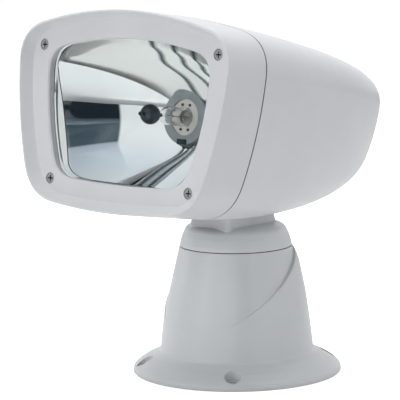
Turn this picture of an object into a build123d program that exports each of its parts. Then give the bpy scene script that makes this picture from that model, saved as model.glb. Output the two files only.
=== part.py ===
# Marine searchlight: swivelling head on a conical pedestal.
# Millimetres. +Z is up, the head looks along -Y, the origin is the centre of the deck face.
import os
from math import acos, atan2, cos, degrees, hypot, pi, radians, sin, sqrt, tan

from build123d import *

os.makedirs("parts", exist_ok=True)

# Fits and clearances
SEAT = 0.05            # radial play of a fixed shaft, screw or plug in its hole
RUN = 0.05             # radial play of a turning shaft in its bush
FREE = 0.3             # gap between pieces that move past each other
WALL = 3.0             # moulded wall of the housings

# Pedestal
FLANGE_R = 75.0
RIM_H = 2.5
CONE_FOOT_Z = 14.5
CONE_FOOT_R = 56.0
PEDESTAL_TOP_Z = 90.9
PEDESTAL_TOP_R = 40.6
DECK_CIRCLE = (CONE_FOOT_R + FLANGE_R) / 2 + 1.73
DECK_ANGLE = 51.34     # of the deck holes on their circle, from the X axis
DECK_BOLT_R = 2.75
DECK_POCKET_R = 6.1
DECK_POCKET_FLOOR = 5.0
TOP_PLATE_Z = 84.0
TOP_PLATE_T = 4.0
RELIEF_Z = 70.6        # height of the relief line at mid depth
RELIEF_SLOPE = 0.691   # rise of the relief line per millimetre towards the back
GASKET_R = DECK_CIRCLE - DECK_BOLT_R - 7.0
GASKET_W = 3.0
GASKET_T = 1.5
BASE_PLATE_R = 51.3
BASE_PLATE_Z = 2.0
BASE_PLATE_T = 2.5
BASE_SCREW_R = BASE_PLATE_R - 6.3   # radius of the circle of base plate screws
GROMMET_Y = 20.3 - BASE_PLATE_R
GROMMET_BORE = 4.0

# Control board
BOARD_W = 56.0
BOARD_D = 42.0
BOARD_T = 1.6
BOARD_LIFT = 7.0
BOARD_HOLE_X = 24.0
BOARD_HOLE_Y = 17.0

# Pan drive
MODULE = 1.0
PRESSURE = 25.0
BACKLASH = 0.4
PAN_TEETH = 42
PINION_TEETH = 12
PAN_SHAFT_R = 8.0
PAN_SHAFT_BORE = 5.0
PAN_SHAFT_LOW = 62.0
PAN_SHAFT_HIGH = 103.0
PAN_BUSH_R = 11.0
PAN_GEAR_Z = 66.0
PAN_GEAR_T = 8.0
MOTOR_R = 12.0
MOTOR_LEN = 34.0
MOTOR_SHAFT_R = 2.0
MOTOR_NOSE_R = 5.0
MOTOR_PLATE_Z = 58.0
MOTOR_PLATE_T = 3.0
MOTOR_PLATE_R = 37.0
STANDOFF_R = 31.0      # radius of the circle of standoffs that carry the motor plate
STANDOFF_POST = 4.0

# Swivelling turret
SEAM_GAP = 0.6
CAP_BOTTOM_R = PEDESTAL_TOP_R - 0.3
CAP_SHOULDER_Z = 102.0
CAP_TOP_R = CAP_BOTTOM_R - 9.8
CAP_TOP_Z = 107.2
TURRET_BOSS_R = 14.0
NECK_HALF_X = 18.1
NECK_FRONT = -28.6
NECK_BACK = 23.4
NECK_EDGE = 3.0
NECK_TOP = 131.0
NECK_WALL = 4.0
CHEEK_IN = 8.5
CHEEK_OUT = 15.5
CHEEK_R = 13.0

# Tilt drive
PIVOT_Z = 158.0
REST_TILT = 8.388      # the head looks up by this angle at rest
TILT_SHAFT_R = 4.0
TILT_TEETH = 48
SECTOR_T = 8.0
SECTOR_HALF = 44.0     # half the angle the toothed sector spans
EAR_X = 20.0
EAR_T = 4.0
EAR_R = 12.0
BRACKET_Y = 58.0
BRACKET_T = 4.0
BRACKET_HALF_X = 36.0
BRACKET_LOW = -12.0
BRACKET_HIGH = 44.0
BRACKET_SCREW_X = 28.0
BRACKET_SCREW_LOW = -4.0
BRACKET_SCREW_HIGH = 36.0
TILT_MOTOR_R = 11.0
TILT_MOTOR_LEN = 40.0

# Head, measured with the head level and from the pivot
FACE_Y = -118.64
AXIS_Z = 18.12         # centre of the face above the pivot
RIM_D = -7.4           # the edge of the bezel stands this far in front of the face
RIM_EDGE = 1.0         # rounding of that edge
SEAM_D = 28.0          # depth of the seam behind the face
TAIL_D = 215.74        # depth of the tail
TAIL_CENTRE = 2.55     # height in the face that the tail closes on
FACE_T = 4.0
SEAM_GASKET = 0.5
SLOT_HALF_X = 19.2
SLOT_FRONT = -41.0
SLOT_BACK = 39.0
SCREW_TOP = (80.77, 46.16)
SCREW_LOW = (64.63, -46.16)
SCREW_HEAD_R = 3.5
SCREW_SHANK_R = 1.95
SCREW_BOSS_R = 4.5
LENS_GASKET_T = 1.5
GLASS_T = 4.0
LENS_MARGIN = 4.0

# Reflector and lamp, depths behind the face
LAMP_H = 3.7           # height of the lamp axis in the face
MIRROR_BACK = 69.5     # depth that the bowl and the roof of the mirror close on
FOCUS = 27.0           # of the bowl
ROOF_FOCUS = 9.5       # of the roof, along the middle
ROOF_ARCH = 16.3       # drop of the roof from the middle to the sides
MIRROR_T = 1.6
RIM_T = 1.5
COLLAR_R = 19.2
COLLAR_BORE = 12.8
COLLAR_FRONT = 63.5
COLLAR_BACK = 68.6
BULB_R = 6.5
BULB_FRONT = 40.0
CAP_CENTRE = 28.7
GLARE_R = 7.0
NUB_FRONT = 18.4

# Outlines seen from the front: half width and height of the upper corners, crown of the top edge,
# half width and height of the lower corners, sag of the bottom edge, bow of the sides,
# run of the upper corner along the edge and side, run of the lower corner along both
OUT_WINDOW = (74.0, 44.0, 9.3, 58.5, -43.5, 2.5, 5.0, 15.0, 15.0, 14.0, 14.0)
OUT_FLAT = (90.0, 53.5, 13.0, 69.0, -54.5, 3.5, 7.0, 18.0, 18.0, 17.0, 17.0)
OUT_RIM = (97.5, 56.0, 16.5, 77.0, -59.0, 6.5, 5.8, 22.0, 22.0, 22.0, 22.0)
OUT_SEAM = (99.5, 57.5, 15.2, 79.5, -61.0, 5.0, 6.5, 24.0, 24.0, 24.0, 24.0)

# How the rear shell closes towards the tail: exponents of depth and of the closing curve
CLOSE_WIDE = (2.291, 3.761)
CLOSE_TOP = (1.282, 4.039)
CLOSE_LOW = (1.910, 1.887)


def grow(o, t):
    """Outline moved outwards by t all round."""
    a = 0.6 * t
    return (o[0] + t, o[1] + t, o[2], o[3] + t, o[4] - t, o[5], o[6],
            o[7] + a, o[8] + a, o[9] + a, o[10] + a)


def blend_outline(o, p, t):
    """Outline between o and p."""
    return tuple(a + (b - a) * t for a, b in zip(o, p))


def meet(p, t, q, u):
    """Point where the line from p along t meets the line from q along u."""
    k = ((q[0] - p[0]) * u[1] - (q[1] - p[1]) * u[0]) / (t[0] * u[1] - t[1] * u[0])
    return (p[0] + k * t[0], p[1] + k * t[1])


def outline(o):
    """Face of an outline, drawn from eight tangent curves."""
    tw, th, tc, bw, bh, bc, bow, tx, ts, bx, bs = o
    height = th - bh

    def side(s):
        return (tw + (bw - tw) * s + 4 * bow * s * (1 - s), th - height * s)

    def slope(s):
        return (bw - tw + 4 * bow * (1 - 2 * s), -height)

    kt = tc / tw ** 2
    kb = bc / bw ** 2
    at = tw - tx
    ab = bw - bx
    s1 = ts / height
    s2 = 1 - bs / height
    top = (at, th + tc - kt * at ** 2)
    low = (ab, bh - bc + kb * ab ** 2)
    corner_top = meet(top, (1, -2 * kt * at), side(s1), slope(s1))
    corner_low = meet(side(s2), slope(s2), low, (1, 2 * kb * ab))
    belly = meet(side(s1), slope(s1), side(s2), slope(s2))

    def flip(p):
        return (-p[0], p[1])

    edges = [
        Bezier(flip(top), (0, th + tc + kt * at ** 2), top),
        Bezier(top, corner_top, side(s1)),
        Bezier(side(s1), belly, side(s2)),
        Bezier(side(s2), corner_low, low),
        Bezier(low, (0, bh - bc - kb * ab ** 2), flip(low)),
        Bezier(flip(low), flip(corner_low), flip(side(s2))),
        Bezier(flip(side(s2)), flip(belly), flip(side(s1))),
        Bezier(flip(side(s1)), flip(corner_top), flip(top)),
    ]
    return Face(Wire(edges))


def at_depth(d):
    """Plane parallel to the face, d behind it, with the head level."""
    return Plane(origin=(0, FACE_Y + d, PIVOT_Z + AXIS_Z), x_dir=(-1, 0, 0), z_dir=(0, 1, 0))


def slab(o, d0, d1):
    """Outline extruded from depth d0 to depth d1."""
    return extrude(at_depth(d0) * outline(o), amount=d1 - d0, dir=(0, 1, 0))


def stack(sections, ruled=True):
    """Solid through outlines given as pairs of depth and outline."""
    return loft([at_depth(d) * outline(o) for d, o in sections], ruled=ruled)


def rod(x, h, d0, d1, r):
    """Cylinder along the depth of the head, at x and height h in the face."""
    place = Plane(origin=(x, FACE_Y + d0, PIVOT_Z + AXIS_Z + h), z_dir=(0, 1, 0))
    return extrude(place * Circle(r), amount=d1 - d0)


def pipe(x, h, d0, d1, r, bore):
    return rod(x, h, d0, d1, r) - rod(x, h, d0 - 1, d1 + 1, bore)


def disc(x, y, z0, z1, r):
    """Upright cylinder."""
    return Pos(x, y, (z0 + z1) / 2) * Cylinder(r, z1 - z0)


def ring(z0, z1, r, bore):
    return disc(0, 0, z0, z1, r) - disc(0, 0, z0 - 1, z1 + 1, bore)


def block(x0, x1, y0, y1, z0, z1):
    return Pos((x0 + x1) / 2, (y0 + y1) / 2, (z0 + z1) / 2) * Box(x1 - x0, y1 - y0, z1 - z0)


def axle(x0, x1, y, z, r):
    """Cylinder along X, with y and z measured from the pivot."""
    return Pos((x0 + x1) / 2, y, PIVOT_Z + z) * Rot(0, 90, 0) * Cylinder(r, x1 - x0)


def turned(points):
    """Solid turned about Z from pairs of radius and height."""
    return revolve(Plane.XZ * make_face(Polyline(*points, close=True)), Axis.Z, 360)


def tilted(shape):
    """Head piece turned up to its rest angle about the pivot."""
    return Pos(0, 0, PIVOT_Z) * Rot(-REST_TILT, 0, 0) * Pos(0, 0, -PIVOT_Z) * shape


def both_sides(shape):
    return shape + mirror(shape, about=Plane.YZ)


def gear_points(teeth, first):
    """Tooth outline of a gear; the first tooth is centred on the angle first, in degrees."""
    pitch_r = MODULE * teeth / 2
    base_r = pitch_r * cos(radians(PRESSURE))
    tip_r = pitch_r + 0.8 * MODULE
    root_r = pitch_r - 1.05 * MODULE
    half = (pi * MODULE - BACKLASH) / 4 / pitch_r
    inv_pitch = tan(radians(PRESSURE)) - radians(PRESSURE)

    def flank(r):
        if r < base_r:
            return half + inv_pitch
        a = acos(base_r / r)
        return half + inv_pitch - (tan(a) - a)

    low_r = max(base_r, root_r + 0.1)
    radii = [low_r + (tip_r - low_r) * k / 3 for k in range(4)]
    points = []
    for n in range(teeth):
        centre = radians(first) + 2 * pi * n / teeth
        rising = [(root_r, -flank(low_r))] + [(r, -flank(r)) for r in radii]
        falling = [(r, -a) for r, a in reversed(rising)]
        points += [(r * cos(centre + a), r * sin(centre + a)) for r, a in rising + falling]
    return points


def gear(teeth, first, thickness):
    """Gear about Z, from zero up to its thickness."""
    return extrude(make_face(Polyline(*gear_points(teeth, first), close=True)), amount=thickness)


def cross_screw(head_r, head_t, shank_r, length):
    """Screw along +Z: the head's face at zero, the shank below it towards +Z."""
    head = Pos(0, 0, head_t / 2) * Cylinder(head_r, head_t)
    shank = Pos(0, 0, (head_t + length) / 2) * Cylinder(shank_r, length - head_t)
    slot = Box(1.3 * head_r, 0.26 * head_r, 1.1 * head_t)
    return head + shank - slot - Rot(0, 0, 90) * slot


def save(name, *pieces):
    solids = [s for piece in pieces for s in piece.solids()]
    shape = solids[0] if len(solids) == 1 else Compound(children=solids)
    shape.label = name
    export_step(shape, "parts/" + name + ".step")


# Pedestal housing
def flange_r(k):
    """Radius at the fraction k of the way from the foot of the cone to the rim."""
    return CONE_FOOT_R + (FLANGE_R - CONE_FOOT_R) * k


def cone_r(k):
    """Radius at the fraction k of the way from the top of the cone to its foot."""
    return PEDESTAL_TOP_R + (CONE_FOOT_R - PEDESTAL_TOP_R) * k


flange_profile = [
    (0, 0), (FLANGE_R - 0.6, 0), (FLANGE_R, 0.6), (FLANGE_R, RIM_H), (flange_r(0.947), 4.4),
    (flange_r(0.826), 6.4), (flange_r(0.553), 9.8), (flange_r(0.190), 12.9), (flange_r(0.058), 14.3),
    (CONE_FOOT_R, 15.2), (cone_r(0.948), 16.8), (cone_r(0.929), 19.0),
]
cone_profile = [
    (cone_r(0.870), 28.0), (cone_r(0.805), 36.5), (cone_r(0.688), 46.0), (cone_r(0.571), 54.0),
    (cone_r(0.429), 63.0), (cone_r(0.299), 71.5), (cone_r(0.162), 80.5), (PEDESTAL_TOP_R, PEDESTAL_TOP_Z),
]
pedestal = turned(flange_profile + cone_profile + [(0, PEDESTAL_TOP_Z)])
raised = turned([
    (0, 30.0), (cone_r(0.844), 30.0), (cone_r(0.766), 41.0), (cone_r(0.721), 46.0), (cone_r(0.636), 55.0),
    (cone_r(0.539), 63.5), (cone_r(0.442), 71.0), (cone_r(0.325), 79.5), (cone_r(0.234), 84.0),
    (cone_r(0.104), 88.4), (PEDESTAL_TOP_R, PEDESTAL_TOP_Z), (0, PEDESTAL_TOP_Z),
])
relief_angle = degrees(atan2(RELIEF_SLOPE, 1))
below_line = Pos(0, 0, RELIEF_Z) * Rot(relief_angle, 0, 0) * Pos(0, 0, -100) * Box(200, 300, 200)
pedestal += raised & below_line
INNER_LOW_R = CONE_FOOT_R - 7.5
cavity = turned([
    (0, -1), (BASE_PLATE_R + 0.1, -1), (BASE_PLATE_R + 0.1, BASE_PLATE_Z + BASE_PLATE_T),
    (INNER_LOW_R, BASE_PLATE_Z + BASE_PLATE_T), (INNER_LOW_R, 44.0),
    (PEDESTAL_TOP_R - 0.6, TOP_PLATE_Z), (0, TOP_PLATE_Z),
])
pedestal -= cavity
upper_hollow = disc(0, 0, TOP_PLATE_Z + TOP_PLATE_T, PEDESTAL_TOP_Z + 1, PEDESTAL_TOP_R - WALL)
pedestal -= upper_hollow
HUB_R = 14.0
HUB_LOW = 76.0
pedestal += disc(0, 0, HUB_LOW, TOP_PLATE_Z + 1, HUB_R)
pedestal -= disc(0, 0, HUB_LOW - 1, PEDESTAL_TOP_Z, PAN_BUSH_R + SEAT)
base_screw_spots = [(BASE_SCREW_R * cos(radians(a)), BASE_SCREW_R * sin(radians(a))) for a in (0, 90, 180, 270)]
M3_R = 1.5
for x, y in base_screw_spots:
    post = disc(x, y, BASE_PLATE_Z + BASE_PLATE_T, 18.0, 4.2)
    pedestal += post
    pedestal -= disc(x, y, 0, 15.0, M3_R + SEAT)
standoff_spots = [(STANDOFF_R * cos(radians(a)), STANDOFF_R * sin(radians(a))) for a in (0, 180, 270)]
for x, y in standoff_spots:
    pedestal += disc(x, y, MOTOR_PLATE_Z + MOTOR_PLATE_T, TOP_PLATE_Z + 1, STANDOFF_POST)
    pedestal -= disc(x, y, MOTOR_PLATE_Z, 74.0, M3_R + SEAT)
ABOVE_FLANGE = 2 * CONE_FOOT_Z
for a in (DECK_ANGLE, 180 - DECK_ANGLE, 180 + DECK_ANGLE, -DECK_ANGLE):
    x = DECK_CIRCLE * cos(radians(a))
    y = DECK_CIRCLE * sin(radians(a))
    pedestal -= disc(x, y, DECK_POCKET_FLOOR, ABOVE_FLANGE, DECK_POCKET_R)
    pedestal -= disc(x, y, -1, ABOVE_FLANGE, DECK_BOLT_R)
pedestal -= ring(-1, GASKET_T, GASKET_R + GASKET_W / 2, GASKET_R - GASKET_W / 2)
save("pedestal", pedestal)
save("base_gasket", ring(0, GASKET_T, GASKET_R + GASKET_W / 2 - SEAT, GASKET_R - GASKET_W / 2 + SEAT))

# Base plate with the cable inlet
plate = disc(0, 0, BASE_PLATE_Z, BASE_PLATE_Z + BASE_PLATE_T, BASE_PLATE_R)
board_spots = [(sx * BOARD_HOLE_X, sy * BOARD_HOLE_Y) for sx in (-1, 1) for sy in (-1, 1)]
PLATE_TOP = BASE_PLATE_Z + BASE_PLATE_T
BOARD_Z = PLATE_TOP + BOARD_LIFT
for x, y in board_spots:
    plate += disc(x, y, PLATE_TOP, BOARD_Z, 3.0)
    plate -= disc(x, y, BOARD_Z - 5.5, BOARD_Z + 1, 1.2 + SEAT)
for x, y in base_screw_spots:
    plate -= disc(x, y, 0, 10, M3_R + SEAT)
plate -= disc(0, GROMMET_Y, 0, 10, GROMMET_BORE + 2)
save("base_plate", plate)
grommet = disc(0, GROMMET_Y, BASE_PLATE_Z - 1.2, PLATE_TOP + 1.2, GROMMET_BORE + 3.5)
grommet -= disc(0, GROMMET_Y, BASE_PLATE_Z, PLATE_TOP, 20) - disc(0, GROMMET_Y, 0, 10, GROMMET_BORE + 2)
grommet -= disc(0, GROMMET_Y, 0, 10, GROMMET_BORE)
save("cable_grommet", grommet)
save("base_plate_screws", *[
    Pos(x, y, BASE_PLATE_Z - 1.8) * cross_screw(2.8, 1.8, M3_R, 13.0) for x, y in base_screw_spots
])

# Control board
board = block(-BOARD_W / 2, BOARD_W / 2, -BOARD_D / 2, BOARD_D / 2, BOARD_Z, BOARD_Z + BOARD_T)
for x, y in board_spots:
    board -= disc(x, y, BOARD_Z - 1, BOARD_Z + 5, 1.2 + SEAT)
save("control_board", board)
BOARD_TOP = BOARD_Z + BOARD_T
save("board_relays", *[
    block(x - 7.5, x + 7.5, y - 6, y + 6, BOARD_TOP, BOARD_TOP + 11) for x in (-10.0, 10.0) for y in (-7.0, 8.0)
])
save("board_connector", block(21.5, 27.5, -11, 11, BOARD_TOP, BOARD_TOP + 8)
     - block(23, 26, -9.5, 9.5, BOARD_TOP + 3, BOARD_TOP + 9))
save("board_screws", *[
    Pos(x, y, BOARD_TOP + 1.4) * Rot(180, 0, 0) * cross_screw(2.3, 1.4, 1.2, 7.5) for x, y in board_spots
])

# Pan bearing, motor and gears
TOP_SHELF = TOP_PLATE_Z + TOP_PLATE_T
bush = disc(0, 0, HUB_LOW, TOP_SHELF, PAN_BUSH_R) + disc(0, 0, TOP_SHELF, TOP_SHELF + 1.5, PAN_BUSH_R + 3)
bush -= disc(0, 0, 0, 200, PAN_SHAFT_R + RUN)
save("pan_bush", bush)
SEAL_T = 0.3
seal = ring(PEDESTAL_TOP_Z - 2.4, PEDESTAL_TOP_Z, PEDESTAL_TOP_R - WALL - SEAT, PEDESTAL_TOP_R - WALL - 3)
seal += ring(PEDESTAL_TOP_Z, PEDESTAL_TOP_Z + SEAL_T, PEDESTAL_TOP_R - 0.9, PEDESTAL_TOP_R - WALL - 3)
save("swivel_seal", seal)
PAN_CENTRES = MODULE * (PAN_TEETH + PINION_TEETH) / 2
PLATE_UPPER = MOTOR_PLATE_Z + MOTOR_PLATE_T
motor_plate = disc(0, 0, MOTOR_PLATE_Z, PLATE_UPPER, MOTOR_PLATE_R)
motor_plate -= disc(0, 0, 0, 200, PAN_SHAFT_R)
motor_plate -= disc(0, PAN_CENTRES, 0, 200, MOTOR_NOSE_R + SEAT)
for x, y in standoff_spots:
    motor_plate -= disc(x, y, 0, 200, M3_R + SEAT)
save("motor_plate", motor_plate)
save("motor_plate_screws", *[
    Pos(x, y, MOTOR_PLATE_Z - 2) * cross_screw(2.8, 2.0, M3_R, 15.0) for x, y in standoff_spots
])
pan_motor = disc(0, PAN_CENTRES, MOTOR_PLATE_Z - MOTOR_LEN, MOTOR_PLATE_Z - 12, MOTOR_R - 1)
pan_motor += disc(0, PAN_CENTRES, MOTOR_PLATE_Z - 12, MOTOR_PLATE_Z, MOTOR_R)
pan_motor += disc(0, PAN_CENTRES, MOTOR_PLATE_Z, PLATE_UPPER, MOTOR_NOSE_R)
pan_motor += disc(0, PAN_CENTRES, PLATE_UPPER, PAN_GEAR_Z + PAN_GEAR_T, MOTOR_SHAFT_R)
pan_motor += disc(0, PAN_CENTRES, MOTOR_PLATE_Z - MOTOR_LEN - 2, MOTOR_PLATE_Z - MOTOR_LEN, 4.0)
save("pan_motor", pan_motor)
pan_pinion = gear(PINION_TEETH, -90 + 180 / PINION_TEETH, PAN_GEAR_T)
pan_pinion -= Cylinder(MOTOR_SHAFT_R + RUN, 60)
save("pan_pinion", Pos(0, PAN_CENTRES, PAN_GEAR_Z) * pan_pinion)
pan_gear = gear(PAN_TEETH, 90, PAN_GEAR_T)
pan_gear += Pos(0, 0, PAN_GEAR_T + 0.5) * Cylinder(12, 1.4)
for a in range(0, 360, 60):
    pan_gear -= Rot(0, 0, a) * Pos(14.8, 0, 0) * Cylinder(3.4, 60)
pan_gear -= Cylinder(PAN_SHAFT_R + SEAT, 60)
save("pan_gear", Pos(0, 0, PAN_GEAR_Z) * pan_gear)
save("pan_circlip", ring(PAN_GEAR_Z - 1.5, PAN_GEAR_Z, 11.0, PAN_SHAFT_R + SEAT))
save("pan_shaft", ring(PAN_SHAFT_LOW, PAN_SHAFT_HIGH, PAN_SHAFT_R, PAN_SHAFT_BORE))

# Turret: cap, neck and the two cheeks that carry the tilt shaft
CAP_LOW_Z = PEDESTAL_TOP_Z + SEAM_GAP
cap_line = [(CAP_BOTTOM_R - a, z) for a, z in (
    (0, CAP_LOW_Z), (0.4, 94.0), (1.1, 96.4), (2.1, 99.3), (3.3, CAP_SHOULDER_Z), (4.0, 103.6),
    (5.1, 105.0), (6.9, 106.2))] + [(CAP_TOP_R, CAP_TOP_Z)]
turret = turned([(0, CAP_LOW_Z)] + cap_line + [(0, CAP_TOP_Z + 0.6)])
neck = block(-NECK_HALF_X, NECK_HALF_X, NECK_FRONT, NECK_BACK, CAP_TOP_Z - 6, NECK_TOP)
neck = fillet(neck.edges().filter_by(Axis.Z), NECK_EDGE)
turret += neck
NECK_MIDDLE = (NECK_FRONT + NECK_BACK) / 2
neck_foot = loft([
    Plane(origin=(0, NECK_MIDDLE, z)) * RectangleRounded(2 * (NECK_HALF_X + a), NECK_BACK - NECK_FRONT + 2 * a, NECK_EDGE + a)
    for z, a in ((CAP_TOP_Z - 3.0, 2.4), (CAP_TOP_Z - 0.6, 1.7), (CAP_TOP_Z + 1.6, 0.8), (CAP_TOP_Z + 4.4, 0.1))
], ruled=True)
turret += neck_foot
cap_hollow = turned([(0, CAP_LOW_Z - 1), (CAP_BOTTOM_R - WALL, CAP_LOW_Z - 1)]
                    + [(r - WALL, z - 0.3 * WALL) for r, z in cap_line[1:6]]
                    + [(CAP_TOP_R - 2.0, CAP_TOP_Z - WALL), (0, CAP_TOP_Z - WALL)])
boss = disc(0, 0, 93.0, CAP_TOP_Z, TURRET_BOSS_R)
turret = turret - cap_hollow + boss
turret -= disc(0, 0, 90, PAN_SHAFT_HIGH, PAN_SHAFT_R + SEAT)
turret -= disc(0, 0, 90, 112, PAN_SHAFT_BORE)
turret -= block(-NECK_HALF_X + NECK_WALL, NECK_HALF_X - NECK_WALL, NECK_FRONT + NECK_WALL,
                NECK_BACK - NECK_WALL, CAP_TOP_Z + 1.5, NECK_TOP - NECK_WALL)
cheek = block(CHEEK_IN, CHEEK_OUT, -CHEEK_R, CHEEK_R, NECK_TOP - 1, PIVOT_Z)
cheek += axle(CHEEK_IN, CHEEK_OUT, 0, 0, CHEEK_R)
turret += both_sides(cheek)
turret -= axle(-CHEEK_OUT - 1, CHEEK_OUT + 1, 0, 0, TILT_SHAFT_R + SEAT)
turret -= disc(0, NECK_FRONT + 8.7, NECK_TOP - NECK_WALL - 1, NECK_TOP + 1, GROMMET_BORE)
save("turret", turret)
save("thrust_washer", ring(TOP_SHELF + 1.5 + FREE, 93.0, 13.0, PAN_SHAFT_R + SEAT))

# Tilt shaft and toothed sector, fixed in the neck
SHAFT_HALF = EAR_X + EAR_T + 4.0
save("tilt_shaft", axle(-SHAFT_HALF, SHAFT_HALF, 0, 0, TILT_SHAFT_R))
sector = gear(TILT_TEETH, 0, SECTOR_T)
TILT_PITCH = MODULE * TILT_TEETH / 2
wedge = make_face(Polyline((0, 0), (60 * cos(radians(SECTOR_HALF)), 60 * sin(radians(SECTOR_HALF))), (60, 0),
                           (60 * cos(radians(SECTOR_HALF)), -60 * sin(radians(SECTOR_HALF))), close=True))
sector = sector & extrude(wedge, amount=SECTOR_T)
sector += Pos(0, 0, SECTOR_T / 2) * Cylinder(8.0, SECTOR_T)
sector -= Cylinder(TILT_SHAFT_R + SEAT, 60)
sector_place = Plane(origin=(-SECTOR_T / 2, 0, PIVOT_Z), x_dir=(0, 1, 0), z_dir=(1, 0, 0))
save("tilt_sector", sector_place * Rot(0, 0, -REST_TILT) * sector)
spacer = axle(SECTOR_T / 2, CHEEK_IN, 0, 0, 7.0) - axle(0, 40, 0, 0, TILT_SHAFT_R + SEAT)
save("sector_spacers", *both_sides(spacer).solids())
BUSH_FLANGE = 1.4
washer = axle(CHEEK_OUT, EAR_X - BUSH_FLANGE - FREE, 0, 0, 8.0) - axle(0, 40, 0, 0, TILT_SHAFT_R + SEAT)
save("tilt_washers", *both_sides(washer).solids())
CLIP_X = EAR_X + EAR_T + FREE
clip = axle(CLIP_X, CLIP_X + 1.2, 0, 0, 7.0) - axle(0, 40, 0, 0, TILT_SHAFT_R + SEAT)
save("tilt_circlips", *both_sides(clip).solids())

# Head: tilt bracket with bushes, motor and pinion
TILT_CENTRES = MODULE * (TILT_TEETH + PINION_TEETH) / 2
ear = axle(EAR_X, EAR_X + EAR_T, 0, 0, EAR_R)
ear += block(EAR_X, EAR_X + EAR_T, 0, BRACKET_Y + 1, PIVOT_Z - EAR_R, PIVOT_Z + EAR_R)
ear += axle(EAR_X, EAR_X + EAR_T, TILT_CENTRES, 0, TILT_MOTOR_R + 5)
bracket = both_sides(ear)
bracket += block(-BRACKET_HALF_X, BRACKET_HALF_X, BRACKET_Y, BRACKET_Y + BRACKET_T,
                 PIVOT_Z + BRACKET_LOW, PIVOT_Z + BRACKET_HIGH)
bracket -= axle(-60, 60, 0, 0, TILT_SHAFT_R + 2 + SEAT)
bracket -= axle(0, 60, TILT_CENTRES, 0, TILT_MOTOR_R + SEAT)
bracket_spots = [(sx * BRACKET_SCREW_X, h) for sx in (-1, 1) for h in (BRACKET_SCREW_LOW, BRACKET_SCREW_HIGH)]


def bracket_rod(x, h, y0, y1, r):
    return rod(x, h - AXIS_Z, y0 - FACE_Y, y1 - FACE_Y, r)


for x, h in bracket_spots:
    bracket -= bracket_rod(x, h, 0, 100, M3_R + SEAT)
save("tilt_bracket", tilted(bracket))
tilt_bush = axle(EAR_X, EAR_X + EAR_T, 0, 0, TILT_SHAFT_R + 2)
tilt_bush += axle(EAR_X - BUSH_FLANGE, EAR_X, 0, 0, 8.0)
tilt_bush -= axle(0, 60, 0, 0, TILT_SHAFT_R + RUN)
save("tilt_bushes", *[tilted(s) for s in both_sides(tilt_bush).solids()])
tilt_motor = axle(EAR_X - 12, EAR_X + EAR_T, TILT_CENTRES, 0, TILT_MOTOR_R)
tilt_motor += axle(EAR_X + EAR_T, EAR_X + EAR_T + 3, TILT_CENTRES, 0, TILT_MOTOR_R + 4)
tilt_motor += axle(EAR_X + EAR_T + 3, EAR_X + TILT_MOTOR_LEN, TILT_CENTRES, 0, TILT_MOTOR_R + 0.5)
tilt_motor += axle(-SECTOR_T / 2, EAR_X - 12, TILT_CENTRES, 0, MOTOR_SHAFT_R)
save("tilt_motor", tilted(tilt_motor))
tilt_pinion = gear(PINION_TEETH, 180 + 180 / PINION_TEETH, SECTOR_T) - Cylinder(MOTOR_SHAFT_R + RUN, 60)
pinion_place = Plane(origin=(-SECTOR_T / 2, TILT_CENTRES, PIVOT_Z), x_dir=(0, 1, 0), z_dir=(1, 0, 0))
save("tilt_pinion", tilted(pinion_place * tilt_pinion))
bracket_screws = [
    tilted(Plane(origin=(x, BRACKET_Y - 2, PIVOT_Z + h), z_dir=(0, 1, 0)) * cross_screw(2.8, 2.0, M3_R, 16.0))
    for x, h in bracket_spots
]
save("bracket_screws", *bracket_screws)

# Rear shell
def closing(s, powers):
    return (1 - s ** powers[0]) ** (1 / powers[1])


def shell_outline(s, o, c):
    """Outline o shrunk towards the tail centre height c at the fraction s of the depth."""
    w = closing(s, CLOSE_WIDE)
    t = closing(s, CLOSE_TOP)
    b = closing(s, CLOSE_LOW)
    return (o[0] * w, c + (o[1] - c) * t, o[2] * t, o[3] * w, c + (o[4] - c) * b, o[5] * b, o[6] * w,
            o[7] * w, o[8] * t, o[9] * w, o[10] * b)


def shell_solid(o, front, tail, steps):
    """Solid of the rear shell from the depth front to the tail, in straight steps that tighten to the rear."""
    length = tail - SEAM_D
    start = (front - SEAM_D) / length
    fractions = [start + (0.998 - start) * sin(radians(90 * k / steps)) for k in range(steps + 1)]
    return stack([(SEAM_D + s * length, shell_outline(s, o, TAIL_CENTRE)) for s in fractions])


SHELL_FRONT = SEAM_D + SEAM_GASKET
outer = shell_solid(OUT_SEAM, SHELL_FRONT, TAIL_D, 18)
inner = shell_solid(grow(OUT_SEAM, -WALL), SHELL_FRONT - 0.4, TAIL_D - WALL - 1, 9)
shell = outer - inner
screw_spots = [(sx * p[0], p[1]) for sx in (-1, 1) for p in (SCREW_TOP, SCREW_LOW)]
INSERT_R = 3.0
INSERT_LEN = 10.0
BOSS_END = 46.0
core = None
for x, h in screw_spots:
    side = 1 if x > 0 else -1
    post = rod(x, h, SHELL_FRONT, BOSS_END, SCREW_BOSS_R)
    rib_x0, rib_x1 = sorted((x, x + side * 25))
    post += block(rib_x0, rib_x1, FACE_Y + SHELL_FRONT, FACE_Y + BOSS_END,
                  PIVOT_Z + AXIS_Z + h - 1.2, PIVOT_Z + AXIS_Z + h + 1.2)
    core = post if core is None else core + post
for x, h in bracket_spots:
    core += bracket_rod(x, h, BRACKET_Y + BRACKET_T, 120, 4.5)
shell += core & outer
for x, h in screw_spots:
    shell -= rod(x, h, SEAM_D, SHELL_FRONT + INSERT_LEN, INSERT_R + SEAT)
    shell -= rod(x, h, SEAM_D, BOSS_END - 4, SCREW_SHANK_R + SEAT)
for x, h in bracket_spots:
    shell -= bracket_rod(x, h, BRACKET_Y, BRACKET_Y + BRACKET_T + 12, M3_R + SEAT)
shell -= block(-SLOT_HALF_X, SLOT_HALF_X, SLOT_FRONT, SLOT_BACK, PIVOT_Z - 70, PIVOT_Z - 20)
save("rear_shell", tilted(shell))
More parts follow.
